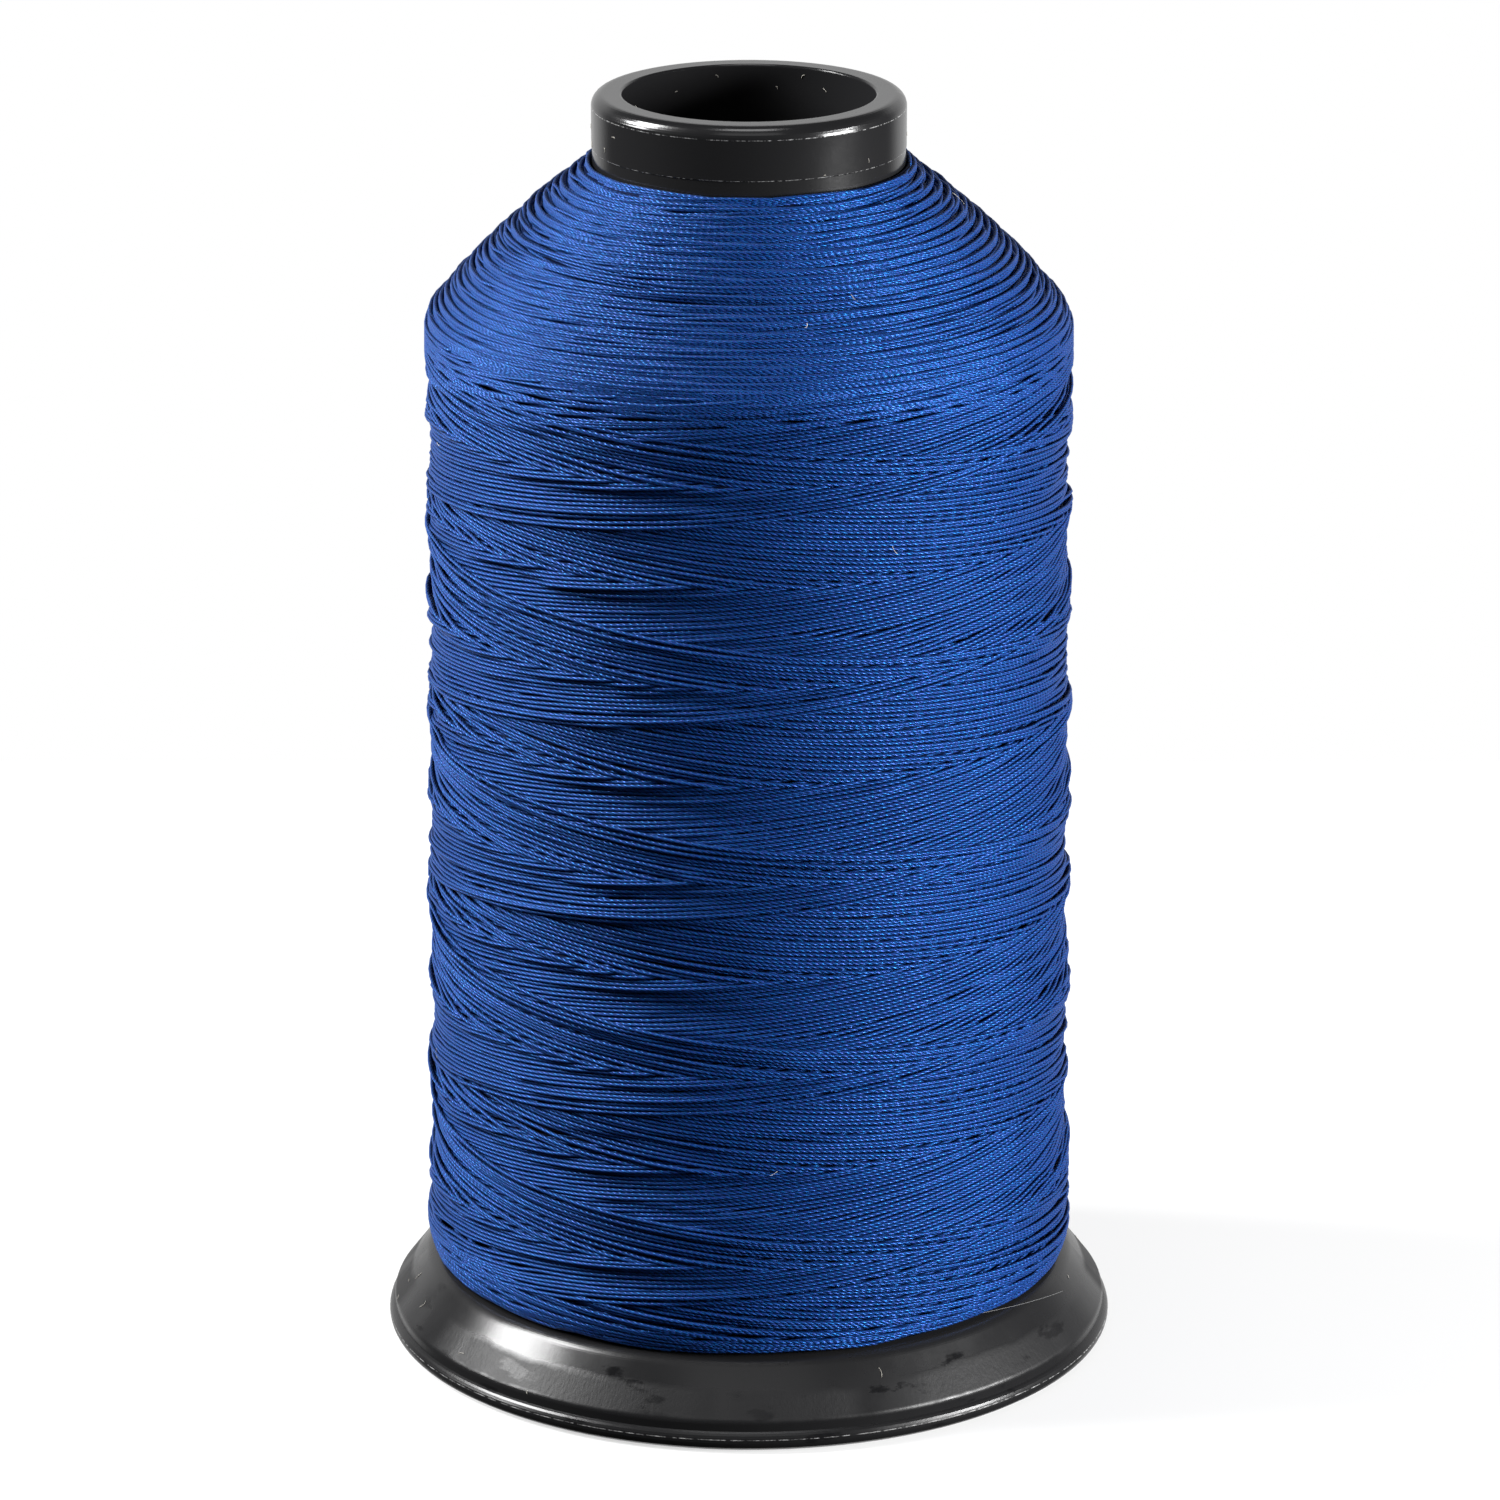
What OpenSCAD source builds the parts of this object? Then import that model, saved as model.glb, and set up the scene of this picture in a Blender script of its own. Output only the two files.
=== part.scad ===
// King spool of sewing thread: a tapered winding tube with a nose collar, a flared
// base flange that snaps onto the foot of the tube, and a package of wound thread
// with a conical top. The origin is on the axis, in the plane the base stands on.

/* [Spool] */
// Height from the floor to the top of the lip
spool_h = 176.4; // [160:0.2:200]
// Outside diameter of the nose collar
nose_d = 42.5; // [41:0.1:45]
// Diameter of the mouth's bore
mouth_d = 34.1; // [30:0.1:35]
// Depth of the bore's straight land below the lip
mouth_land = 14; // [8:0.5:20]
// Distance of the collar's lower edge below the lip
collar_h = 7.3; // [5:0.1:8]
// How far the collar stands proud of the tube below it
collar_step = 0.12; // [0.08:0.02:0.3]
// Radius of the lip's outer edge
lip_r = 1.65; // [0.8:0.05:2]
// Radius of the lip's inner edge
lip_inner_r = 0.4; // [0.2:0.05:0.8]

/* [Tube] */
// Outside diameter of the tube's straight foot
foot_d = 48; // [46:0.5:52]
// Wall of the tube
tube_wall = 2.4; // [1.8:0.1:3]
// Height of the snap bead above the tube's end
snap_h = 6; // [4.5:0.1:7]
// How far the snap bead stands proud
snap_depth = 0.5; // [0.3:0.05:0.7]

/* [Base flange] */
// Outside diameter over the rim bead
base_d = 101.6; // [98:0.2:106]
// Radius of the rim bead's round edge
bead_r = 1.35; // [1.1:0.05:1.6]
// Height of the rim bead's widest line above the floor
bead_z = 1.6; // [1.5:0.05:1.9]
// How far the neck above the bead is drawn in
neck_in = 0.8; // [0.6:0.05:1]
// Height of the shoulder where the neck turns into the skirt
neck_h = 4.2; // [3.8:0.1:5]
// Slope of the skirt, from level
skirt_slope = 52.4; // [48:0.2:56]
// Height of the crown's edge, where the skirt starts
crown_h = 11; // [9.5:0.1:12.5]
// Slope of the crown under the thread, from level
crown_slope = 12; // [6:0.5:16]
// Wall of the flange
flange_wall = 2.2; // [1.6:0.1:2.6]
// Wall of the socket that the tube snaps into
socket_wall = 2.4; // [1.8:0.1:3]
// Height of the socket above its floor
socket_h = 19; // [16:0.5:24]
// Height of the socket's floor, which the tube stands on
seat_z = 4.2; // [3.6:0.1:5]
// Thickness of the socket's floor
seat_t = 3; // [2:0.1:3.4]
// Diameter of the hole in the socket's floor
foot_bore_d = 41.8; // [38:0.2:42]
// Number of ribs under the flange
ribs = 16; // [8:1:24]
// Thickness of each rib
rib_t = 1.6; // [1:0.1:2.4]
// Height of the ribs' lower edge above the floor
rib_z = 1.2; // [0.6:0.1:2]

/* [Thread] */
// Diameter of the thread package at its foot
package_d = 89.2; // [86:0.2:91]
// Draw-in of the package's side from foot to shoulder, on the diameter
package_draw = 2.2; // [0:0.1:4]
// Slope of the cone above the shoulder, from level
cone_slope = 44; // [38:0.5:48]
// Bare nose between the cone and the lip
bare_nose = 9.6; // [9:0.1:16]
// Radius of the package's shoulder
shoulder_r = 5; // [4:0.5:8]
// Turns of the outermost layer
turns = 24; // [12:1:24]
// Thickness of a turn
turn_t = 1.5; // [1:0.1:2]
// Gap between one turn and the next
turn_gap = 0.6; // [0.45:0.05:1]

/* [Fits] */
// Radial clearance between the tube's foot and the socket
snap_fit = 0.1; // [0.05:0.05:0.2]
// Clearance between the thread and the plastic it is wound on
wind_fit = 0.25; // [0.1:0.05:0.4]

/* [Hidden] */

// Smoothness of the round solids, and the pieces in each rounded corner
round_fn = 96;
arc_steps = 8;
// Rings in each turn of the winding
turn_rings = 24;
ring_step = 360 / turn_rings;

nose_r = nose_d / 2;
mouth_r = mouth_d / 2;
foot_r = foot_d / 2;
base_r = base_d / 2;
foot_bore_r = foot_bore_d / 2;
collar_z = spool_h - collar_h;
tube_top_r = nose_r - collar_step;

// ---- Rounded outlines ------------------------------------------------------

function unit(v) = v / norm(v);

// An arc of radius r that replaces the corner b between a and c
function fillet(a, b, c, r) =
    let (
        u = unit(a - b),
        v = unit(c - b),
        half = acos(u * v) / 2,
        middle = b + unit(u + v) * r / sin(half),
        start = b + u * r / tan(half) - middle,
        stop = b + v * r / tan(half) - middle,
        from = atan2(start.y, start.x),
        turn = atan2(start.x * stop.y - start.y * stop.x, start * stop)
    )
    [
        for (i = [0 : arc_steps])
            middle + r * [cos(from + turn * i / arc_steps), sin(from + turn * i / arc_steps)]
    ];

// A closed outline from corners [r, z, radius], where radius 0 keeps the corner sharp
function outline(corners) =
    let (n = len(corners))
    [
        for (i = [0 : n - 1])
            let (
                a = corners[(i + n - 1) % n],
                b = corners[i],
                c = corners[(i + 1) % n]
            )
            each b.z == 0
                ? [[b.x, b.y]]
                : fillet([a.x, a.y], [b.x, b.y], [c.x, c.y], b.z)
    ];

function reverse(list) = [for (i = [len(list) - 1 : -1 : 0]) list[i]];

module revolve(corners) {
    rotate_extrude($fn = round_fn)
        polygon(outline(corners));
}

// ---- Tube --------------------------------------------------------------------

// The straight foot ends just above the socket
foot_top_z = seat_z + socket_h + 1;
snap_z = seat_z + snap_h;
tube_taper = (foot_r - tube_top_r) / (collar_z - foot_top_z);
mouth_land_z = spool_h - mouth_land;

// Outside radius of the tapered tube at height z
function tube_r(z) = z < foot_top_z ? foot_r : foot_r - (z - foot_top_z) * tube_taper;

// A snap ridge standing out by depth, steep above and gentle below
function ridge(r, z, depth) = [
    [r, z - 3 * depth, 0],
    [r + depth, z - depth / 2, 0],
    [r + depth, z + depth / 2, 0],
    [r, z + depth, 0]
];

entry_chamfer = 0.6;
inner_shoulder = tube_r(mouth_land_z) - tube_wall - mouth_r;

module barrel() {
    color([0.05, 0.05, 0.055])
        revolve(concat(
            [
                [foot_r - tube_wall, seat_z, 0],
                [foot_r - entry_chamfer, seat_z, 0],
                [foot_r, seat_z + entry_chamfer, 0]
            ],
            ridge(foot_r, snap_z, snap_depth),
            [
                [foot_r, foot_top_z, 0],
                [tube_top_r, collar_z, 0],
                [nose_r, collar_z + collar_step, 0],
                [nose_r, spool_h, lip_r],
                [mouth_r, spool_h, lip_inner_r],
                [mouth_r, mouth_land_z, 0],
                [mouth_r + inner_shoulder, mouth_land_z - inner_shoulder, 0],
                [foot_r - tube_wall, foot_top_z, 0]
            ]
        ));
}

// ---- Base flange -----------------------------------------------------------------

socket_r = foot_r + snap_fit;
hub_r = socket_r + socket_wall;
socket_top_z = seat_z + socket_h;

// The neck stands behind the bead, and the skirt rises from its shoulder
neck_r = base_r - neck_in;
bead_c = [base_r - bead_r, bead_z];
bead_top_a = acos((neck_r - bead_c.x) / bead_r);
foot_flat = 1.6;
crown_edge_r = neck_r - (crown_h - neck_h) / tan(skirt_slope);
crown_fillet = 3;
neck_fillet = 1.2;
hub_fillet = 2;
under_fillet = 1;
socket_edge = 0.5;
bead_foot_a = -50;

// Height of the crown's upper face at radius r
function crown_z(r) = crown_h + (crown_edge_r - r) * tan(crown_slope);

// The bead's round edge, from the floor up to the neck
function bead() = [
    for (i = [0 : arc_steps])
        let (a = bead_foot_a + (bead_top_a - bead_foot_a) * i / arc_steps)
        [bead_c.x + bead_r * cos(a), bead_c.y + bead_r * sin(a), 0]
];

// The corner of a wall's inner face, where two faces of slopes a and b meet outside at p
function inset(p, a, b, wall) =
    p - wall * [sin(a) + sin(b), cos(a) + cos(b)] / (1 + cos(a - b));

// The inner face keeps the wall's thickness below the crown and the skirt
rim_in_r = base_r - bead_r - foot_flat;
under_edge = inset([crown_edge_r, crown_h], skirt_slope, crown_slope, flange_wall);
rim_top_z = under_edge.y - (rim_in_r - under_edge.x) * tan(skirt_slope);
hub_under_z = crown_z(hub_r) - flange_wall / cos(crown_slope);

module flange_body() {
    revolve(concat(
        [[rim_in_r, 0, 0], [bead_c.x, 0, 0]],
        bead(),
        [
            [neck_r, neck_h, neck_fillet],
            [crown_edge_r, crown_h, crown_fillet],
            [hub_r, crown_z(hub_r), hub_fillet],
            [hub_r, socket_top_z, socket_edge],
            [socket_r, socket_top_z, socket_edge]
        ],
        reverse(ridge(socket_r, snap_z, snap_depth)),
        [
            [socket_r, seat_z, 0],
            [foot_bore_r, seat_z, 0],
            [foot_bore_r, seat_z - seat_t, 0],
            [hub_r, seat_z - seat_t, 0],
            [hub_r, hub_under_z, under_fillet],
            [under_edge.x, under_edge.y, under_fillet],
            [rim_in_r, rim_top_z, 0]
        ]
    ));
}

// A rib fills the hollow between the hub and the rim, and runs into both walls
module rib() {
    sunk = flange_wall / 2;
    rotate([90, 0, 0])
        translate([0, 0, -rib_t / 2])
            linear_extrude(rib_t)
                polygon([
                    [hub_r - sunk, rib_z],
                    [rim_in_r + sunk, rib_z],
                    [rim_in_r + sunk, rim_top_z],
                    [under_edge.x + sunk, under_edge.y],
                    [under_edge.x, under_edge.y + sunk],
                    [hub_r - sunk, hub_under_z + sunk]
                ]);
}

module base_flange() {
    color([0.05, 0.05, 0.055])
        union() {
            flange_body();
            for (i = [0 : ribs - 1])
                rotate(i * 360 / ribs)
                    rib();
        }
}

// ---- Outline of the thread package -------------------------------------------------

package_foot_r = package_d / 2;
package_shoulder_r = package_foot_r - package_draw / 2;
cone_top_z = spool_h - bare_nose;
half_step = ring_step / 2;

// A turn is drawn with straight runs between its rings, which cut inside the circle.
// The cone ends where the inner edge of its last turn still clears the tube.
end_w = turn_t;
bevel_share = 1 / 3;
top_edge_in = turn_t * sin(cone_slope) - bevel_share * end_w * cos(cone_slope);
cone_top_r = (tube_top_r + wind_fit) / cos(half_step) + top_edge_in;
shoulder_z = cone_top_z - (package_shoulder_r - cone_top_r) * tan(cone_slope);
package_foot_z = crown_z(package_foot_r - turn_t / 2) + wind_fit;

// Directions that the side and the cone face, from level
side_a = atan((package_foot_r - package_shoulder_r) / (shoulder_z - package_foot_z));
cone_a = 90 - cone_slope;

// The outline runs up the side, round the shoulder and up the cone
path_foot = [package_foot_r, package_foot_z];
path_corner = [package_shoulder_r, shoulder_z];
path_top = [cone_top_r, cone_top_z];
corner_cut = shoulder_r * tan((cone_a - side_a) / 2);
side_len = norm(path_corner - path_foot) - corner_cut;
arc_len = shoulder_r * (cone_a - side_a) * PI / 180;
cone_len = norm(path_top - path_corner) - corner_cut;
path_len = side_len + arc_len + cone_len;
function facing(a) = [cos(a), sin(a)];
function along(a) = [-sin(a), cos(a)];
shoulder_c = path_foot + side_len * along(side_a) - shoulder_r * facing(side_a);

// The direction that the outline faces after a run of s, and the point that it reaches
function path_a(s) =
    side_a + (cone_a - side_a) * max(0, min(1, (s - side_len) / arc_len));
function path_point(s) =
    s < side_len ? path_foot + s * along(side_a)
    : s < side_len + arc_len ? shoulder_c + shoulder_r * facing(path_a(s))
    : shoulder_c + shoulder_r * facing(cone_a) + (s - side_len - arc_len) * along(cone_a);

// ---- Outermost layer of thread ------------------------------------------------------

// The winding climbs by one pitch a turn. Its first turn widens from the foot's edge,
// and its last one narrows to the top's, so that it covers the whole outline.
turn_bevel = 0.6 * turn_t;
pitch = (path_len - turn_gap - 2 * end_w) / (turns - 1);
rings = turns * turn_rings;
function climb(i) = end_w + pitch * i / turn_rings;
function lower_edge(i) = max(0, climb(i) - pitch + turn_gap);
function upper_edge(i) = min(path_len, climb(i));

// A point of ring i at the run s and the given depth below the outline
function wound(i, s, depth) =
    let (p = path_point(s) - depth * facing(path_a(s)))
    [p.x * cos(i * ring_step), p.x * sin(i * ring_step), p.y];

function ring(i) =
    let (
        low = lower_edge(i),
        high = upper_edge(i),
        bevel = min(turn_bevel, (high - low) * bevel_share)
    )
    [
        wound(i, low, turn_t / 2),
        wound(i, low + bevel, 0),
        wound(i, high - bevel, 0),
        wound(i, high, turn_t / 2),
        wound(i, high - bevel, turn_t),
        wound(i, low + bevel, turn_t)
    ];

// Ring i moved straight on by one thickness, which gives the winding its square ends
function end_ring(i, side) =
    let (a = i * ring_step)
    [for (p = ring(i)) p + side * turn_t * [-sin(a), cos(a), 0]];

wound_rings = concat(
    [end_ring(0, -1)],
    [for (i = [0 : rings]) ring(i)],
    [end_ring(rings, 1)]
);

sides = len(wound_rings[0]);
last = len(wound_rings) - 1;
wound_points = [for (r = wound_rings) each r];
wound_faces = concat(
    [for (k = [1 : sides - 2]) [0, k + 1, k]],
    [
        for (i = [0 : last - 1], k = [0 : sides - 1])
            let (
                a = i * sides + k,
                b = i * sides + (k + 1) % sides
            )
            each [[a, b, b + sides], [a, b + sides, a + sides]]
    ],
    [for (k = [1 : sides - 2], b = [last * sides]) [b, b + k, b + k + 1]]
);

// The least distance between the points of one turn and those of the next
next_turn = [for (i = [1 : last - turn_rings - 1], j = [-1 : 1]) [i, i + turn_rings + j]];
least_gap = min([
    for (pair = next_turn, p = wound_rings[pair[0]], q = wound_rings[pair[1]])
        norm(p - q)
]);
echo(least_gap_between_turns = least_gap);

module outer_winding() {
    color([0.03, 0.13, 0.5])
        polyhedron(points = wound_points, faces = wound_faces, convexity = 10);
}

// ---- Inner layers of thread ---------------------------------------------------------

// The core lies below the straight runs of the turns, and its shoulder is rounded
// enough for the flat back of the turn that goes over it.
run_sag = package_foot_r * (1 - cos(half_step));
core_in = turn_t + wind_fit + run_sag;
half_turn = (cone_a - side_a) / 2;
flat_half_w = (pitch - turn_gap) / 2 - turn_bevel;
shoulder_room = 1.3;
core_shoulder_r =
    shoulder_room * flat_half_w * sin(half_turn) / (1 / cos(half_turn) - 1);
core_shoulder = inset(path_corner, 90 - side_a, cone_slope, core_in);
core_foot_r = package_foot_r - core_in;
core_top_r = tube_top_r + 2 * wind_fit;
core_top_z = core_shoulder.y + (core_shoulder.x - core_top_r) * tan(cone_slope);
hub_clear_r = hub_r + wind_fit;
fillet_clear_r = hub_clear_r + hub_fillet;

module thread_core() {
    color([0.02, 0.09, 0.38])
        revolve([
            [core_foot_r, crown_z(core_foot_r) + wind_fit, 0],
            [core_shoulder.x, core_shoulder.y, core_shoulder_r],
            [core_top_r, core_top_z, 0],
            [tube_r(core_top_z) + wind_fit, core_top_z, 0],
            [foot_r + wind_fit, foot_top_z, 0],
            [foot_r + wind_fit, socket_top_z + wind_fit, 0],
            [hub_clear_r, socket_top_z + wind_fit, 0],
            [hub_clear_r, crown_z(hub_r) + hub_fillet + wind_fit, 0],
            [fillet_clear_r, crown_z(fillet_clear_r) + wind_fit, 0]
        ]);
}

barrel();
base_flange();
thread_core();
outer_winding();
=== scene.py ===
"""Looks of a king spool of sewing thread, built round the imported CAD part.

The thread is wound here turn by turn. A cross-wound package is laid down by a traverse
that goes up and down while the tube turns, and each double traverse ends one thread
further round than the last. The same is done in numbers: every length of thread goes
onto a bed, a map of the package's height, rests on what is under it, and raises the bed.
So the crossings, the combs where one sheet of thread dives under the other, the loose
edges and the terraces of the cone come out as they do on the machine.

Lengths are millimetres until a mesh is made, then metres. Angles round the spool start
at the front (-Y) and grow towards +X. They are counted in samples, TURN_SAMPLES a turn.
"""

import math

import bpy
import numpy as np
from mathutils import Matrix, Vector


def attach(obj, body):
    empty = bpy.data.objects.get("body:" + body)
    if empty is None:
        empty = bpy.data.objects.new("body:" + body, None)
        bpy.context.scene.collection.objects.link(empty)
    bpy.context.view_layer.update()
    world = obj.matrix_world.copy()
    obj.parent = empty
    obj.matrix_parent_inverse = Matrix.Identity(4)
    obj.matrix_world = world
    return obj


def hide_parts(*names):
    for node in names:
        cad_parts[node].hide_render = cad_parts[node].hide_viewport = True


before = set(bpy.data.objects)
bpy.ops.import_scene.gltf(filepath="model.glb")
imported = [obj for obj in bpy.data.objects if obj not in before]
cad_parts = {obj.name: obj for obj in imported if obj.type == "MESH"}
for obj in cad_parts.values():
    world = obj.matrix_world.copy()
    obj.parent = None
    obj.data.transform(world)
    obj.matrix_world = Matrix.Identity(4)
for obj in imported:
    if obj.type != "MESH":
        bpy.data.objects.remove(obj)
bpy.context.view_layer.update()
scene = bpy.context.scene
rng = np.random.default_rng(20)

MM = 0.001
FULL_TURN = 2 * math.pi
BODY = "root"
UV_NAME = "OFBake"

# The package's outline, as in part.scad.
FOOT_Z, FOOT_R = 11.44, 44.6
SHOULDER_Z, SHOULDER_R = 146.3, 43.5
CONE_TOP_Z, CONE_TOP_R = 166.8, 22.3
TUBE_R = 21.4
TUBE_FOOT_R = 24.6
# What the photo shows beyond that outline.
CROWNING = 1.35  # how far the cone stands out from a straight one, halfway up
FOOT_ROUNDING, FOOT_ROUNDING_H = 1.3, 5.0  # how far the foot draws in, over what height

# Where marks lie on the black parts, a hair off their surfaces: in the tube's bore, on its
# collar, and on the base's skirt, with its run to a millimetre of height.
BORE_R, COLLAR_R = 17.0, 21.28
SKIRT_Z, SKIRT_R, SKIRT_RUN = 9.8, 45.73, 0.77

# The thread and how it is laid.
THREAD_R = 0.275
PLIES = 3
LAY = 2.8  # length in which the plies turn once round each other
PLY_DEPTH = 0.095  # how deep the grooves between plies are
MAP_LAYS = 30  # turns of the plies that the thread's UV square holds
MAP_SPARE = 4  # of these, turns kept free for the face that starts last
PITCH = 27.3  # rise of the thread in one turn of the spool
MEAN_R = 44.0  # radius at which slopes and lengths of the winding are reckoned
CYCLES = 48  # double traverses until the cover is closed
TURN_SAMPLES = 576
CYCLE_SAMPLES = 10 * TURN_SAMPLES + TURN_SAMPLES // CYCLES
TOP_CORNER = 147.35  # where the traverse would turn if the thread could turn sharply
BOTTOM_CORNER = TOP_CORNER - CYCLE_SAMPLES / 2 * PITCH / TURN_SAMPLES
FIRST_SAMPLE = 391  # where round the spool the cover's oldest double traverse starts
BEND_R = 234.0  # radius of the curve in which the thread turns back
LAYER_SHARE = 0.75  # height of a layer that others press on, in thread diameters
FIBRE_R = 0.035  # lint

# Times a whole number, its fraction spreads values evenly with no pattern.
GOLDEN = 0.6180339887

# The bed's grid, and how a thread lies on it.
CELL = 0.095
BED_LOW, BED_HIGH = 8.0, 172.0
CELL_HEIGHTS = np.arange(BED_LOW, BED_HIGH, CELL)
RESTING = np.arange(-2, 3)  # cells across that the thread rests on
RAISED = np.arange(-3, 4)  # cells across that it raises
BRIDGED = 2  # samples each way over which it is pulled straight
STIFFNESS = 3.5  # samples over which its height is smoothed
JOINING = 12  # samples in which a length settles after the one before it
WAVES = 5  # waves that make up a thread's drift


# ---------------------------------------------------------------- winding


def body_radius(z):
    """The package's outer radius between its foot and its shoulder."""
    share = (z - FOOT_Z) / (SHOULDER_Z - FOOT_Z)
    rounding = FOOT_ROUNDING * np.clip(1 - (z - FOOT_Z) / FOOT_ROUNDING_H, 0, 1) ** 2
    return FOOT_R + (SHOULDER_R - FOOT_R) * share - rounding


def cone_radius(z):
    """The package's outer radius between its shoulder and its top, a little crowned."""
    share = (z - SHOULDER_Z) / (CONE_TOP_Z - SHOULDER_Z)
    crown = 4 * CROWNING * np.maximum(share * (1 - share), 0)
    return SHOULDER_R + (CONE_TOP_R - SHOULDER_R) * share + crown


def smooth(values, sigma):
    reach = int(3 * sigma)
    kernel = np.exp(-0.5 * (np.arange(-reach, reach + 1) / sigma) ** 2)
    return np.convolve(np.pad(values, reach, mode="edge"), kernel / kernel.sum(), "valid")


def wander(count, step, size, shortest=60.0, longest=400.0):
    """A smooth sideways drift along a thread of count samples that are step apart."""
    s = np.arange(count) * step
    lengths = np.exp(rng.uniform(math.log(shortest), math.log(longest), WAVES))
    phases = rng.uniform(0, FULL_TURN, WAVES)
    parts = [np.sin(FULL_TURN * s / length + phase) for length, phase in zip(lengths, phases)]
    return size * np.sum(parts, axis=0) / math.sqrt(WAVES / 2)


def half_round(across):
    """How far the thread's round side stands off its middle line, across cells aside."""
    return np.sqrt(np.maximum(THREAD_R**2 - (across * CELL) ** 2, 0))


def lay(bed, sample, z, squeeze, joined=None):
    """Lays a length of thread on the bed and returns the height of its middle line.

    It touches what is under it, is pulled straight over small hollows, and sinks in by
    squeeze. joined is the height at which the length before it ended."""
    column = (sample % TURN_SAMPLES)[:, None]
    row = np.rint((z - BED_LOW) / CELL).astype(int)[:, None]
    held = (bed[column, row + RESTING] + half_round(RESTING)).max(1) - squeeze
    padded = np.pad(held, BRIDGED, mode="edge")
    held = np.max([padded[i : i + len(held)] for i in range(2 * BRIDGED + 1)], axis=0)
    height = smooth(held, STIFFNESS)
    if joined is not None:
        height += (joined - height[0]) * np.exp(-np.arange(len(height)) / JOINING)
    cells = column, row + RAISED
    bed[cells] = np.maximum(bed[cells], height[:, None] + half_round(RAISED))
    return height


def traverse_heights():
    """Height of the thread over one double traverse, from the foot up and back.

    With it come each sample's distance along the thread from the upper and from the lower
    turning point, and the distance between samples."""
    i = np.arange(CYCLE_SAMPLES)
    step = FULL_TURN * MEAN_R / TURN_SAMPLES
    slope = PITCH / (FULL_TURN * MEAN_R)
    from_top = np.abs(i - CYCLE_SAMPLES / 2) * step
    from_foot = CYCLE_SAMPLES / 2 * step - from_top
    z = TOP_CORNER - from_top * slope
    flat = BEND_R * slope
    rounding = BEND_R * slope**2 / 2
    z = np.where(from_top < flat, TOP_CORNER - rounding - from_top**2 / (2 * BEND_R), z)
    z = np.where(from_foot < flat, BOTTOM_CORNER + rounding + from_foot**2 / (2 * BEND_R), z)
    return z, from_top, from_foot, step


def scroll(sample, z):
    """How far the newest layer has built up at a point, for the two sheets together."""
    turn = (sample - FIRST_SAMPLE) / TURN_SAMPLES
    rising = (BOTTOM_CORNER - (z - PITCH * turn)) / PITCH % 1
    falling = ((z + PITCH * turn) - (2 * TOP_CORNER - BOTTOM_CORNER)) / PITCH % 1
    return rising + falling


def wind_cover():
    """The package's outer cover, one unbroken thread: sample numbers, radii, heights.

    Two covers are wound, and the first only makes the bed that the second lies on."""
    loose_share = 0.12  # of the double traverses
    oldest, newest = 3, 4  # double traverses that are loose at either end of the cover
    loose_drift, tight_drift = 0.13, 0.045
    top_scatter, foot_scatter, scatter_reach = 2.6, 1.6, 42  # where the thread turns back
    squeeze = 0.06
    set_back = 0.12  # how far the middle of the thread lies below the outline
    proud, less_at_shoulder = 0.45, 0.2  # how far it may stand above that
    built_up = scroll(np.arange(TURN_SAMPLES)[:, None], CELL_HEIGHTS[None, :])
    bed = built_up * 2 * THREAD_R * LAYER_SHARE
    nominal, from_top, from_foot, step = traverse_heights()
    half = CYCLE_SAMPLES // 2
    samples, levels, heights = [], [], []
    joined = None
    for cycle in range(-CYCLES, CYCLES):
        k = cycle % CYCLES
        loose = rng.random() < loose_share or k < oldest or k >= CYCLES - newest
        z = nominal + wander(CYCLE_SAMPLES, step, loose_drift if loose else tight_drift)
        scattered = cycle * GOLDEN % 1
        z -= top_scatter * scattered * np.exp(-((from_top / scatter_reach) ** 2))
        z += foot_scatter * scattered * np.exp(-((from_foot / scatter_reach) ** 2))
        sample = FIRST_SAMPLE + cycle * CYCLE_SAMPLES + np.arange(CYCLE_SAMPLES)
        for part in (slice(0, half), slice(half, None)):
            level = lay(bed, sample[part], z[part], squeeze, joined)
            joined = level[-1]
            if cycle >= 0:
                samples.append(sample[part])
                levels.append(level)
                heights.append(z[part])
    sample, level, z = map(np.concatenate, (samples, levels, heights))
    # The bed's mean, away from both ends, becomes the package's outline. What stands far
    # above it is held back, more so from 110 mm up to the shoulder.
    body = (CELL_HEIGHTS > FOOT_Z + 6) & (CELL_HEIGHTS < SHOULDER_Z - 8)
    level -= bed[:, body].mean() + set_back
    limit = proud - less_at_shoulder * np.clip((z - 110) / 36, 0, 1)
    level = np.where(level > 0, limit * np.tanh(level / limit), level)
    return sample, body_radius(z) + level, z


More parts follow.
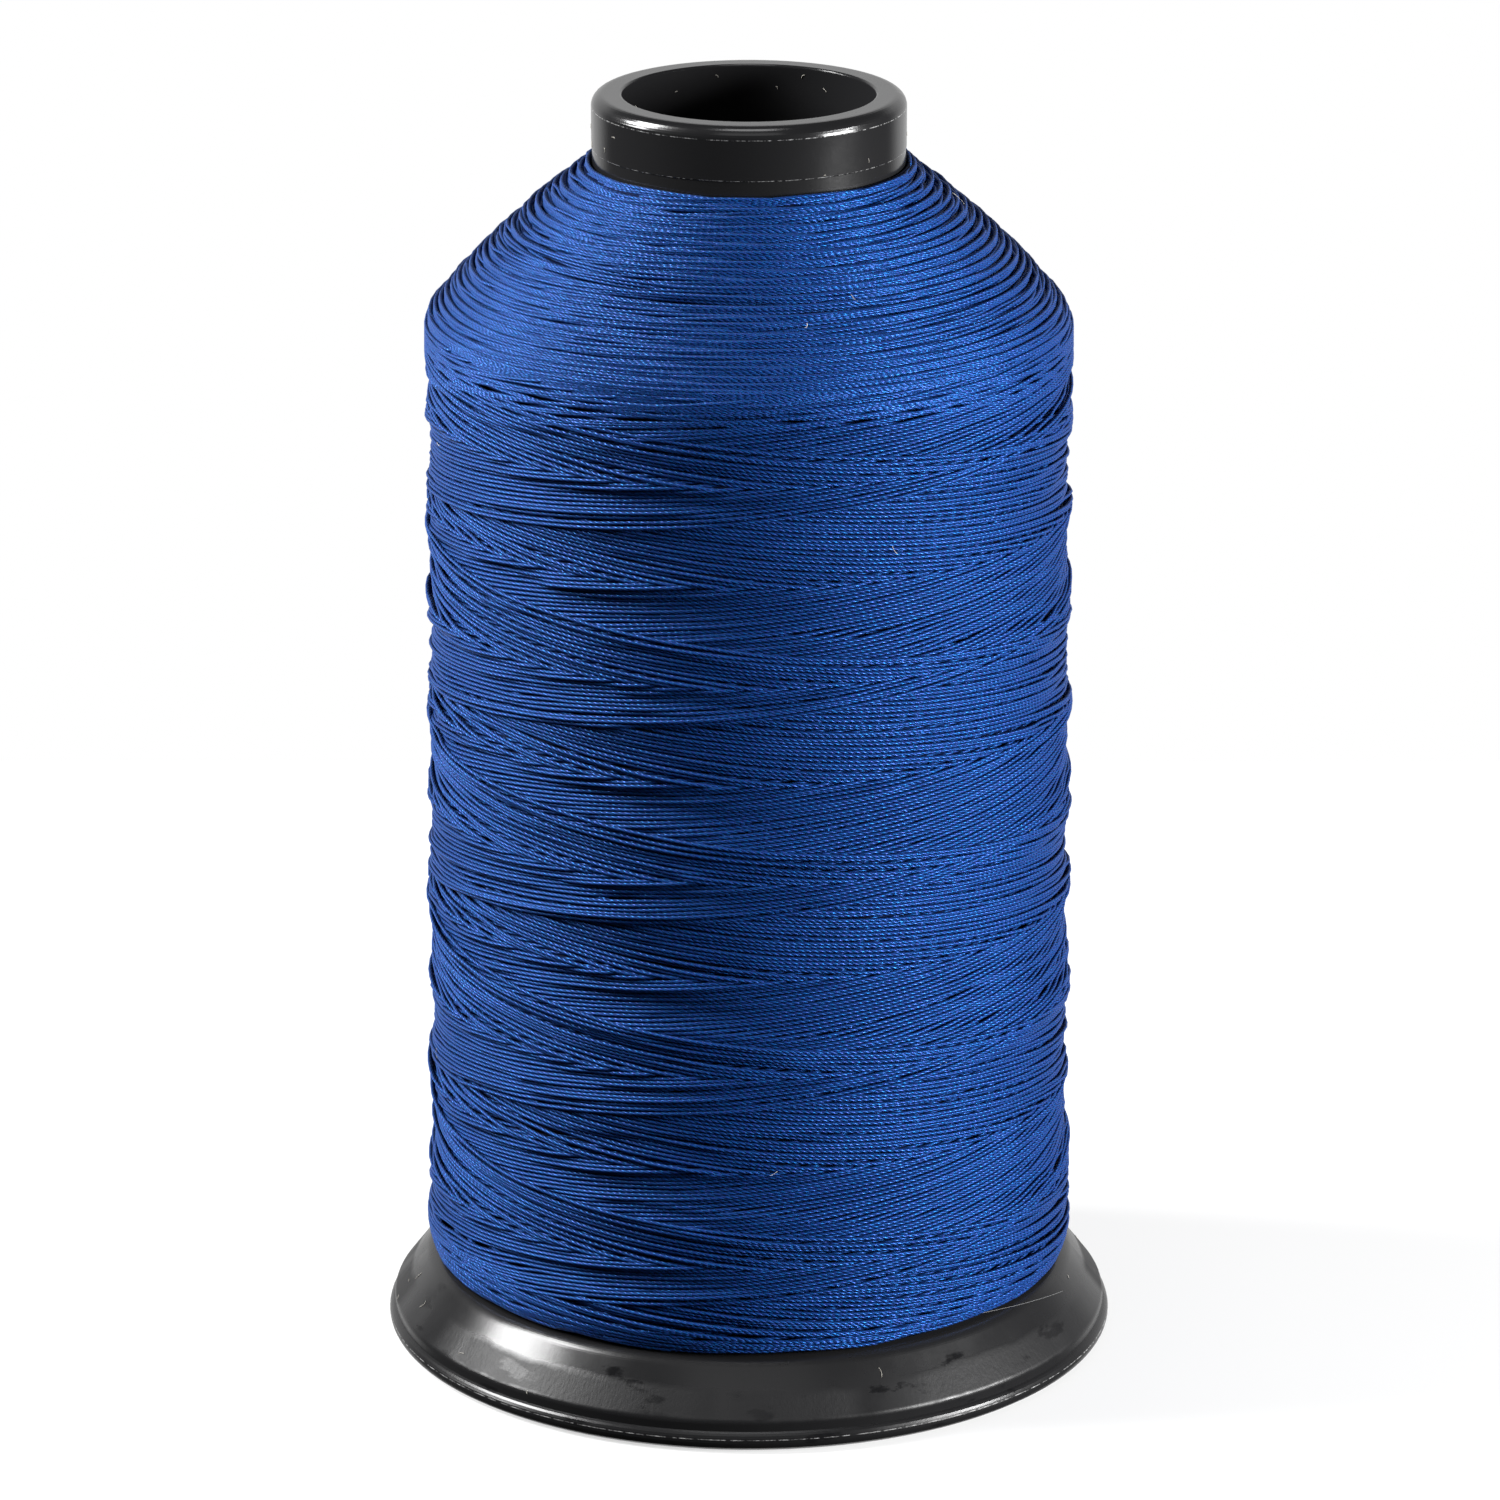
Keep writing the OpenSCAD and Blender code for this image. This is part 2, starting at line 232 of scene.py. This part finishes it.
def wind_cone():
    """The threads' turns on the cone, each where a layer under the cover turned back."""
    first_apex = CONE_TOP_Z + 1.0  # where the innermost layer turned back
    layer_step = 1.0  # how much lower each layer turns back than the one before it
    first_sample, layer_turn = 205, 37  # where the first layer starts, and each one after it
    reach = 72  # samples that a turn runs each way from its apex
    squeeze = 0.08
    bed_depth, deepest, proud = 1.4, 1.9, 0.1  # below and above the cone's outline
    hollow, hump = 0.3, 0.35  # how far a finished layer may dip and rise
    bed = np.maximum(cone_radius(CELL_HEIGHTS) - bed_depth, TUBE_R)
    bed = np.tile(bed, (TURN_SAMPLES, 1))
    growth = layer_step * (SHOULDER_R - CONE_TOP_R) / (CONE_TOP_Z - SHOULDER_Z)
    layers = int((first_apex - SHOULDER_Z) / layer_step) + 2
    along = np.arange(-reach, reach + 1)
    angle = along * FULL_TURN / TURN_SAMPLES
    dip = (MEAN_R * angle) ** 2 / (2 * BEND_R)
    wraps = []
    for layer in range(layers):
        for k in range(CYCLES):
            apex = first_apex - (layer + k / CYCLES) * layer_step
            around = round(k * TURN_SAMPLES / CYCLES + rng.uniform(-4, 4))
            sample = first_sample + layer * layer_turn + around + along
            radius = np.clip(cone_radius(apex), TUBE_R + THREAD_R, SHOULDER_R - 0.3)
            z = apex - dip * rng.uniform(0.35, 0.6) - layer_step * (k * GOLDEN % 1)
            z += wander(len(along), radius * FULL_TURN / TURN_SAMPLES, 0.04, 20, 80)
            level = lay(bed, sample, z, squeeze)
            lowest = np.maximum(TUBE_R + THREAD_R, cone_radius(z) - deepest)
            wraps.append((sample, np.clip(level, lowest, radius + proud), z))
        # The cover of this layer evens out what lies below the layer's turning points.
        done = first_apex - (layer + 1) * layer_step
        surface = max(cone_radius(done) - growth, TUBE_R)
        edge = CELL_HEIGHTS < done
        bed[:, edge] = np.clip(bed[:, edge], surface - hollow, surface + hump)
    return wraps


# ---------------------------------------------------------------- meshes


def mesh_object(name, points, corners, sizes, uv=None):
    """A smooth mesh from arrays: points in metres, all faces' corners in one row, and
    how many corners each face has."""
    mesh = bpy.data.meshes.new(name)
    mesh.vertices.add(len(points))
    mesh.vertices.foreach_set("co", np.asarray(points, np.float32).ravel())
    mesh.loops.add(len(corners))
    mesh.loops.foreach_set("vertex_index", np.asarray(corners, np.int32))
    mesh.polygons.add(len(sizes))
    starts = np.concatenate([[0], np.cumsum(sizes)[:-1]])
    mesh.polygons.foreach_set("loop_start", starts.astype(np.int32))
    mesh.polygons.foreach_set("use_smooth", np.ones(len(sizes), bool))
    if uv is not None:
        layer = mesh.uv_layers.new(name=UV_NAME, do_init=False)
        layer.uv.foreach_set("vector", np.asarray(uv, np.float32).ravel())
    mesh.update()
    mesh.validate()
    piece = bpy.data.objects.new(name, mesh)
    scene.collection.objects.link(piece)
    return piece


def thread_tube(lines, sides=6, thickness=THREAD_R):
    """Points, corners, face sizes and UVs of closed tubes along lines, facing outward.

    A line is (samples, radii, heights). U runs along the thread and V round it. Each face
    lies whole inside the UV square, which holds MAP_LAYS turns of the plies, so one small
    map can carry the twist of the whole thread."""
    all_points, all_corners, all_sizes, all_uv = [], [], [], []
    offset = 0
    turn = (np.arange(sides) / sides * FULL_TURN)[None, :, None]
    here = np.arange(sides)[None, :]
    after = (here + 1) % sides
    for sample, radius, z in lines:
        angle = sample * FULL_TURN / TURN_SAMPLES
        middle = np.stack([radius * np.sin(angle), -radius * np.cos(angle), z], 1)
        ahead = np.gradient(middle, axis=0)
        ahead /= np.linalg.norm(ahead, axis=1)[:, None]
        out = np.stack([np.sin(angle), -np.cos(angle), 0 * angle], 1)
        out -= (out * ahead).sum(1)[:, None] * ahead
        out /= np.linalg.norm(out, axis=1)[:, None]
        side = np.cross(ahead, out)
        spoke = np.cos(turn) * out[:, None] + np.sin(turn) * side[:, None]
        ring = middle[:, None] + thickness * spoke
        count = len(sample)
        first = offset + np.arange(count - 1)[:, None] * sides
        last = first + sides
        quads = np.stack([first + here, first + after, last + after, last + here], -1)
        length = np.linalg.norm(np.diff(middle, axis=0), axis=1)
        passed = np.concatenate([[0], np.cumsum(length)[:-1]]) / LAY
        u0 = (passed % (MAP_LAYS - MAP_SPARE)) / MAP_LAYS
        u1 = u0 + length / LAY / MAP_LAYS
        u0, u1 = np.repeat(u0[:, None], sides, 1), np.repeat(u1[:, None], sides, 1)
        v0 = np.repeat(here / sides, count - 1, 0)
        v1 = v0 + 1 / sides
        uv = np.stack([u0, v0, u0, v1, u1, v1, u1, v0], -1)
        rim = np.arange(sides)
        ends = np.concatenate([offset + rim[::-1], offset + (count - 1) * sides + rim])
        all_points.append(ring.reshape(-1, 3))
        all_corners += [quads.ravel(), ends]
        all_sizes += [np.full((count - 1) * sides, 4), np.full(2, sides)]
        all_uv += [uv.reshape(-1, 2), np.full((2 * sides, 2), 0.5)]
        offset += count * sides
    return (
        np.concatenate(all_points) * MM,
        np.concatenate(all_corners),
        np.concatenate(all_sizes),
        np.concatenate(all_uv),
    )


def thinned(line, step):
    """Every step-th sample of a line, with its last."""
    keep = np.unique(np.append(np.arange(0, len(line[0]), step), len(line[0]) - 1))
    return tuple(values[keep] for values in line)


def lathe(name, profile, segments=192):
    """A closed solid of revolution. profile is a closed loop of (radius, height)."""
    loop = np.array(profile)
    count = len(loop)
    angle = np.arange(segments) / segments * FULL_TURN
    points = np.stack(
        [
            loop[None, :, 0] * np.sin(angle)[:, None],
            -loop[None, :, 0] * np.cos(angle)[:, None],
            np.repeat(loop[None, :, 1], segments, 0),
        ],
        -1,
    ).reshape(-1, 3)
    a = np.arange(segments)[:, None] * count
    b = (np.arange(segments)[:, None] + 1) % segments * count
    here = np.arange(count)[None, :]
    after = (here + 1) % count
    quads = np.stack([a + here, b + here, b + after, a + after], -1)
    return mesh_object(name, points * MM, quads.ravel(), np.full(segments * count, 4))


# ---------------------------------------------------------------- nodes


class Nodes:
    """Short names for making the nodes of a material or a world."""

    def __init__(self, owner):
        owner.use_nodes = True
        self.owner = owner
        self.tree = owner.node_tree

    def set(self, socket, value):
        """Links value to the socket if it is an output, and else sets it there."""
        if isinstance(value, bpy.types.NodeSocket):
            self.tree.links.new(value, socket)
        else:
            socket.default_value = value

    def fill(self, node, inputs):
        """Sets a node's inputs by name, with _ for each space."""
        for key, value in inputs.items():
            self.set(node.inputs[key.replace("_", " ")], value)

    def new(self, kind, **inputs):
        node = self.tree.nodes.new(kind)
        self.fill(node, inputs)
        return node

    def listed(self, kind, values, **settings):
        """A node whose first inputs take the values in turn."""
        node = self.tree.nodes.new(kind)
        for key, value in settings.items():
            setattr(node, key, value)
        for i, value in enumerate(values):
            self.set(node.inputs[i], value)
        return node.outputs[0]

    def math(self, operation, *values):
        return self.listed("ShaderNodeMath", values, operation=operation)

    def product(self, first, *others):
        for other in others:
            first = self.math("MULTIPLY", first, other)
        return first

    def vector_math(self, operation, *values):
        return self.listed("ShaderNodeVectorMath", values, operation=operation)

    def vector(self, x, y, z):
        return self.listed("ShaderNodeCombineXYZ", (x, y, z))

    def span(self, value, low, high, to_low=0.0, to_high=1.0, step="LINEAR"):
        """value stretched from low..high to to_low..to_high, held at the ends."""
        values = value, low, high, to_low, to_high
        return self.listed("ShaderNodeMapRange", values, interpolation_type=step)

    def mix(self, share, a, b):
        """Colour a where share is 0, b where it is 1."""
        node = self.tree.nodes.new("ShaderNodeMix")
        node.data_type = "RGBA"
        for i, value in ((0, share), (6, a), (7, b)):
            self.set(node.inputs[i], value)
        return node.outputs[2]

    def noise(self, vector, scale, detail=2.0, roughness=0.5):
        return self.new(
            "ShaderNodeTexNoise", Vector=vector, Scale=scale, Detail=detail, Roughness=roughness
        ).outputs["Fac"]

    def split(self, vector):
        return self.new("ShaderNodeSeparateXYZ", Vector=vector).outputs

    def place(self):
        """A point in the object's own space, which is the row frame."""
        return self.new("ShaderNodeTexCoord").outputs["Object"]

    def bump(self, height, distance):
        return self.new("ShaderNodeBump", Height=height, Distance=distance).outputs[0]


class Finish(Nodes):
    """The nodes of a new material with a Principled shader."""

    def __init__(self, name):
        super().__init__(bpy.data.materials.new(name))
        self.shader = self.tree.nodes["Principled BSDF"]

    def shade(self, **inputs):
        """Sets the shader's inputs and returns the material."""
        self.fill(self.shader, inputs)
        return self.owner


# ---------------------------------------------------------------- materials


def thread_material():
    """Filament thread: plies twisted round each other, with fine strands in each.

    U of the map runs along the thread and V round it, with V = 0 on its outer side. The
    relief of plies and strands is given as a normal, from the slopes of their forms."""
    top, tint = (0.0006, 0.033, 0.155, 1), (0.0055, 0.0165, 0.135, 1)
    # The next colour is painted shade. The grooves between plies and strands, and each thread's
    # sides, are darkened towards it.
    painted_groove_shade = (0.0005, 0.0035, 0.02, 1)
    top_glint, tint_glint = (0.02, 0.36, 1.0, 1.0), (0.13, 0.25, 1.0, 1.0)
    noise_round, noise_along = 2.4, 130.0  # how much noise goes round and along the map
    strands, straying = 6.0, 10.0  # strands round the thread, and how far they stray
    roundness = 0.25  # how much rounder than its six-sided tube a thread looks
    strand_along, strand_around = 0.08, -0.12  # slopes of a strand's side

    n = Finish("spun_thread")
    uv = n.new("ShaderNodeUVMap")
    uv.uv_map = UV_NAME
    u, v = n.split(uv.outputs[0])[:2]
    twist = n.math("SUBTRACT", v, n.product(u, float(MAP_LAYS)))
    ply = n.math("FRACT", n.product(twist, float(PLIES)))
    lobe = n.math("SINE", n.product(ply, math.pi))
    slope = n.math("COSINE", n.product(ply, math.pi))
    turn = n.product(twist, FULL_TURN)
    swirl = n.vector(
        n.product(n.math("COSINE", turn), noise_round),
        n.product(n.math("SINE", turn), noise_round),
        n.product(u, noise_along),
    )
    filaments = n.noise(swirl, 1.0)
    patches = n.noise(n.vector_math("ADD", swirl, (40.0, 0.0, 0.0)), 1.3, 1.0)
    strand = n.math("MULTIPLY_ADD", turn, strands, n.product(filaments, straying))
    strand_top = n.span(n.math("SINE", strand), -0.7, 0.6)
    round_it = n.product(v, FULL_TURN)
    outside = n.math("COSINE", round_it)
    # Painted shade: the colour darkens to a fifth in the grooves between plies, to under half
    # between strands, and to a tenth on each thread's sides, where its neighbours shade it.
    # gloss lowers the specular level in the same places.
    light = n.product(
        n.span(lobe, 0.05, 0.7, 0.2, 1.0),
        n.span(strand_top, 0.0, 1.0, 0.45, 1.0),
        n.span(outside, 0.0, 0.85, 0.1, 1.0),
    )
    gloss = n.product(strand_top, n.span(lobe, 0.2, 0.8), n.span(outside, 0.0, 0.8))

    along = PLY_DEPTH * math.pi * PLIES / LAY
    around = PLY_DEPTH * math.pi * PLIES / (FULL_TURN * THREAD_R)
    rise = n.math("COSINE", strand)
    tilt_around = n.math("MULTIPLY_ADD", slope, -around, n.product(rise, strand_around))
    tilt = n.vector(
        n.math("MULTIPLY_ADD", slope, along, n.product(rise, strand_along)),
        n.math("ADD", tilt_around, n.product(n.math("SINE", round_it), roundness)),
        1.0,
    )
    halves = (0.5, 0.5, 0.5)
    coded = n.vector_math("MULTIPLY_ADD", n.vector_math("NORMALIZE", tilt), halves, halves)
    normal = n.new("ShaderNodeNormalMap", Color=coded)
    normal.uv_map = UV_NAME
    return n.shade(
        Base_Color=n.mix(light, painted_groove_shade, n.mix(n.span(patches, 0.4, 0.6), top, tint)),
        Normal=normal.outputs[0],
        Roughness=n.span(gloss, 0.0, 1.0, 0.65, 0.36),
        IOR=1.85,
        Specular_IOR_Level=n.span(gloss, 0.0, 1.0, 0.4, 1.0),
        Specular_Tint=n.mix(n.span(patches, 0.42, 0.58), top_glint, tint_glint),
    )


def painted_shade_under_material():
    """The layers under the cover, seen only between threads, and painted near black as the shade
    there.
    """
    n = Finish("thread_layers_below")
    z = n.split(n.place())[2]
    rows = n.math("SINE", n.product(z, FULL_TURN / (2 * THREAD_R * MM)))
    # Painted shade: the rows are near black, a little lighter on their tops.
    light = n.span(rows, -1.0, 1.0)
    return n.shade(
        Base_Color=n.mix(light, (0.0002, 0.001, 0.006, 1), (0.001, 0.006, 0.035, 1)),
        Normal=n.bump(light, 0.2 * MM),
        Roughness=0.7,
        Specular_IOR_Level=0.05,
    )


def plastic_material(name, gloss, dull, gleam, seams, scuffs, wear):
    """Black moulded plastic, handled: rubbed dull, wiped bright in places, a little dusty.

    gloss and dull are its least and greatest roughness, gleam how strongly it reflects,
    seams the heights of mould seams on the outside, scuffs the band of heights that is
    scuffed, and wear how strongly it is worn."""
    bore_edge = 17.06, 17.2  # radii of the bore's surface and of where the lip's begins
    blend = 0.5, 0.8  # heights in which the scuffed band fades out, below and above
    seam_edge = 0.07, 0.03  # half widths of a seam's line, where it is faint and full
    speck = 0.045  # size of a dust speck, in cells of its pattern
    relief_depth = 0.02 * MM
    black, wiped_black = (0.008, 0.008, 0.0085, 1), (0.005, 0.005, 0.0055, 1)
    # This grey is for dust specks, and for a painted highlight along the mould seams.
    dust_and_highlight_grey = (0.22, 0.22, 0.22, 1)

    n = Finish(name)
    place = n.place()
    x, y, z = n.split(place)
    angle = n.math("ARCTAN2", y, x)

    def marks(around, up, detail, roughness):
        """Noise with so many cells to a radian round the spool and to a metre up it."""
        flat = n.vector(n.product(angle, around), n.product(z, up), 0.0)
        return n.noise(flat, 1.0, detail, roughness)

    across = n.math("SQRT", n.math("ADD", n.product(x, x), n.product(y, y)))
    # outer is 0 in the bore and 1 outside it. The specular level is multiplied by it, a painted
    # shade: the bore reflects nothing and stays dark.
    outer = n.span(across, bore_edge[0] * MM, bore_edge[1] * MM)
    cloud = n.noise(place, 60.0, 5.0, 0.65)
    fine = n.noise(place, 2200.0)
    wiped = n.product(n.span(marks(4.5, 260.0, 5.0, 0.6), 0.59, 0.64), wear)
    streaks = marks(70.0, 300.0, 3.0, 0.6)
    pits = marks(95.0, 1100.0, 3.0, 0.7)

    low, high = scuffs
    edge = n.math("MULTIPLY_ADD", cloud, 3.0 * MM, z)
    patchy = n.noise(n.vector(n.product(angle, 2.0), 3.0, 0.0), 1.0)
    scuff = n.product(
        n.span(edge, low * MM, (low + blend[0]) * MM),
        n.span(edge, high * MM, (high - blend[1]) * MM),
        n.span(patchy, 0.42, 0.5),
        wear,
    )

    specks = n.new("ShaderNodeTexVoronoi", Vector=place, Scale=330.0, Randomness=1.0).outputs
    rare = n.math("GREATER_THAN", specks["Color"], 0.95)
    dust_and_seam_highlight = n.product(n.math("LESS_THAN", specks["Distance"], speck), rare)
    spread = n.vector(n.product(angle, 30.0), 0.0, n.product(z, 500.0))
    breaks = n.span(n.noise(spread, 1.0, 4.0, 0.7), 0.45, 0.6)
    # Painted highlight: a pale broken line along each mould seam, on the outside only.
    for height in seams:
        off = n.math("ABSOLUTE", n.math("SUBTRACT", z, height * MM))
        line = n.span(off, seam_edge[0] * MM, seam_edge[1] * MM)
        dust_and_seam_highlight = n.math("MAXIMUM", dust_and_seam_highlight, n.product(line, breaks, outer))

    rough = n.span(cloud, 0.3, 0.7, gloss, dull)
    rough = n.math("ADD", rough, n.product(scuff, 0.22))
    rough = n.math("SUBTRACT", rough, n.product(wiped, 0.1))
    relief = n.math("MULTIPLY_ADD", fine, 0.25, n.product(streaks, 0.3))
    relief = n.math("ADD", relief, n.product(pits, scuff, 2.2))
    return n.shade(
        Base_Color=n.mix(dust_and_seam_highlight, n.mix(wiped, black, wiped_black), dust_and_highlight_grey),
        Roughness=n.math("ADD", rough, n.product(dust_and_seam_highlight, 0.3)),
        Normal=n.bump(relief, relief_depth),
        Specular_IOR_Level=n.product(n.math("MULTIPLY_ADD", scuff, -0.12, gleam), outer),
    )


# ---------------------------------------------------------------- the object


def give(piece, material):
    piece.data.materials.clear()
    piece.data.materials.append(material)


def dress_node(node, material):
    """A better material in a CAD node's slots. Its mesh stays as packed."""
    for slot in node.material_slots:
        slot.link = "OBJECT"
        slot.material = material


def add_piece(piece, material, replaced=None):
    """Gives a piece its material and body, and hides the CAD node that it stands for, if any."""
    give(piece, material)
    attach(piece, BODY)
    if replaced:
        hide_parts(replaced)


thread = thread_material()


def thread_piece(name, lines):
    add_piece(mesh_object(name, *thread_tube(lines)), thread, "outer_winding")


# The cover is cut into pieces to keep each mesh small. A sample of either end is shared.
COVER_PIECES = 4
COVER_STEP, CONE_STEP = 6, 8  # samples from one ring of the tube's points to the next
cover = wind_cover()
share = CYCLES // COVER_PIECES * CYCLE_SAMPLES
for i in range(COVER_PIECES):
    cut = [values[i * share : (i + 1) * share + 1] for values in cover]
    thread_piece(f"thread_cover_{i + 1}", [thinned(cut, COVER_STEP)])

wraps = [thinned(wrap, CONE_STEP) for wrap in wind_cone()]
halfway = len(wraps) // 2
thread_piece("thread_cone_upper", wraps[:halfway])
thread_piece("thread_cone_lower", wraps[halfway:])

# The layers below stand back from the outline, so that they show only through gaps, where their
# near-black colour is painted shade.
INSET, CONE_INSET = 1.25, 1.5
below = lathe(
    "thread_layers_below",
    [
        (TUBE_FOOT_R, FOOT_Z + 0.1),
        (FOOT_R - INSET, FOOT_Z + 0.1),
        (SHOULDER_R - INSET, SHOULDER_Z - 0.5),
        *(
            (cone_radius(z) - CONE_INSET, z)
            for z in np.linspace(SHOULDER_Z + 2, CONE_TOP_Z - 1.5, 8)
        ),
        (TUBE_R + 0.3, CONE_TOP_Z + 0.3),
        (TUBE_R + 0.1, CONE_TOP_Z + 0.3),
        (TUBE_FOOT_R, FOOT_Z + 60),
    ],
)
add_piece(below, painted_shade_under_material(), "thread_core")

dress_node(
    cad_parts["barrel"],
    plastic_material(
        "tube_plastic", 0.15, 0.21, 0.45, seams=(169.2, 174.7), scuffs=(171.0, 173.0), wear=0.0
    ),
)
dress_node(
    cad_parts["base_flange"],
    plastic_material("base_plastic", 0.2, 0.3, 0.3, seams=(1.9,), scuffs=(5.6, 9.6), wear=1.0),
)


def fine_piece(name, lines, material_name, colour):
    """Surface marks: thin five-sided tubes of one dull colour."""
    material = Finish(material_name).shade(Base_Color=colour, Roughness=0.6)
    add_piece(mesh_object(name, *thread_tube(lines, 5, FIBRE_R)), material)


def fibres(count, low, high, radius, longest=2.2):
    """Lint: short bent fibres lying on the surface whose radius at a height is given."""
    points = 7
    lines = []
    for _ in range(count):
        z0 = rng.uniform(low, high)
        start, heading, bend = rng.uniform(0, FULL_TURN, 3)
        length = rng.uniform(0.35, 1.0) * longest
        turned = heading + np.linspace(0, 1, points) * (bend - math.pi) * 0.7
        across = np.cumsum(np.cos(turned)) * length / points
        up = np.cumsum(np.sin(turned)) * length / points
        z = np.clip(z0 + up, low, high)
        sample = (start + across / radius(z)) * TURN_SAMPLES / FULL_TURN
        lines.append((sample, radius(z), z))
    return lines


def raised(surface):
    """A surface of thread with a fibre lying on top of it."""
    return lambda z: surface(z) + 0.3


def upright(radius):
    """A surface with one radius at every height."""
    return lambda z: np.full_like(z, radius)


def skirt_radius(z):
    return SKIRT_R + (SKIRT_Z - z) * SKIRT_RUN


lint = (
    fibres(16, 18.0, 140.0, raised(body_radius))
    + fibres(7, 147.5, 163.0, raised(cone_radius))
    + fibres(40, 163.0, 175.6, upright(BORE_R), 1.1)
    + fibres(12, 169.5, 174.2, upright(COLLAR_R), 1.0)
    + fibres(9, 4.2, SKIRT_Z, skirt_radius, 1.5)
)
fine_piece("lint", lint, "lint_fibre", (0.36, 0.34, 0.3, 1))

# A scratch that runs slantwise down the right of the base, from the crown's rounded edge
# onto the skirt.
SCRATCH_TOP, SCRATCH_TOP_R, SCRATCH_DROP = 12.2, 43.65, 3.1
SKIRT_TOP, SKIRT_TOP_R = 11.2, 44.68
run = np.linspace(0, 1, 25)
scratch_z = SCRATCH_TOP - SCRATCH_DROP * run**1.4
scratch_r = np.where(
    scratch_z > SKIRT_TOP,
    SCRATCH_TOP_R + (SCRATCH_TOP - scratch_z),
    SKIRT_TOP_R + (SKIRT_TOP - scratch_z) * SKIRT_RUN,
)
scratch_sample = np.radians(42.0 + 29.0 * run) * TURN_SAMPLES / FULL_TURN
scratch = [(scratch_sample, scratch_r, scratch_z)]
fine_piece("base_scratch", scratch, "scratched_plastic", (0.1, 0.1, 0.1, 1))

# ---------------------------------------------------------------- the set

FLOOR_HALF = 0.25
AIM = (0, 0, 0.09)  # what the lights look at


def floor_sheet():
    """A white sheet that glows a little. It lights nothing and shows in no reflection."""
    mesh = bpy.data.meshes.new("studio_floor")
    signs = (-1, -1), (1, -1), (1, 1), (-1, 1)
    mesh.from_pydata([(a * FLOOR_HALF, b * FLOOR_HALF, 0) for a, b in signs], [], [(0, 1, 2, 3)])
    floor = bpy.data.objects.new("studio_floor", mesh)
    scene.collection.objects.link(floor)
    floor.location.z = -0.0001
    floor.visible_glossy = False
    floor.visible_diffuse = False
    white = Finish("white_sheet").shade(
        Base_Color=(0.25, 0.25, 0.25, 1),
        Emission_Color=(1, 1, 1, 1),
        Emission_Strength=0.64,
        Specular_IOR_Level=0.0,
        Roughness=0.7,
    )
    give(floor, white)


def softbox(name, azimuth, elevation, distance, width, height, watts):
    """A rectangular light. Azimuth 0 is the front, 90 is +X."""
    a, e = math.radians(azimuth), math.radians(elevation)
    light = bpy.data.lights.new(name, "AREA")
    light.shape = "RECTANGLE"
    light.size, light.size_y, light.energy = width, height, watts
    lamp = bpy.data.objects.new(name, light)
    away = np.array([math.sin(a) * math.cos(e), -math.cos(a) * math.cos(e), math.sin(e)])
    lamp.location = np.array(AIM) + away * distance
    lamp.rotation_euler = Vector(away).to_track_quat("Z", "Y").to_euler()
    scene.collection.objects.link(lamp)


def studio_world():
    """The camera sees white. The object is lit by a low glow behind it, dim elsewhere."""
    dim = 0.06
    world = bpy.data.worlds.new("studio")
    scene.world = world
    n = Nodes(world)
    n.tree.nodes.clear()
    _, y, z = n.split(n.new("ShaderNodeTexCoord").outputs["Generated"])
    behind = n.span(y, 0.5, 0.8, dim, 1.0, step="SMOOTHSTEP")
    low = n.span(z, 0.38, 0.55, 1.0, dim, step="SMOOTHSTEP")
    lit = n.new("ShaderNodeBackground", Strength=n.product(behind, low)).outputs[0]
    seen = n.new("ShaderNodeBackground", Color=(1, 1, 1, 1), Strength=1.0).outputs[0]
    from_camera = n.new("ShaderNodeLightPath").outputs["Is Camera Ray"]
    chosen = n.listed("ShaderNodeMixShader", (from_camera, lit, seen))
    n.new("ShaderNodeOutputWorld", Surface=chosen)


def photo_camera():
    """The camera of the photo, found from the rings of the spool that it shows."""
    camera = bpy.data.cameras.new("camera")
    camera.lens, camera.sensor_width = 176.1, 36.0
    camera.shift_x = 0.0007
    viewer = bpy.data.objects.new("camera", camera)
    viewer.location = (0, -0.9643, 0.3976)
    viewer.rotation_euler = (math.radians(90 - 18.042), 0, 0)
    scene.collection.objects.link(viewer)
    scene.camera = viewer


floor_sheet()
softbox("left_box", -91, 34, 0.8, 0.3, 0.5, 21)
softbox("right_box", 68, 10, 0.8, 0.34, 0.22, 21)
softbox("top_box", 0, 88, 0.9, 0.3, 0.3, 1.4)
softbox("front_box", 0, 52, 0.9, 0.6, 0.4, 0.7)
studio_world()
photo_camera()
scene.view_settings.view_transform = "Standard"
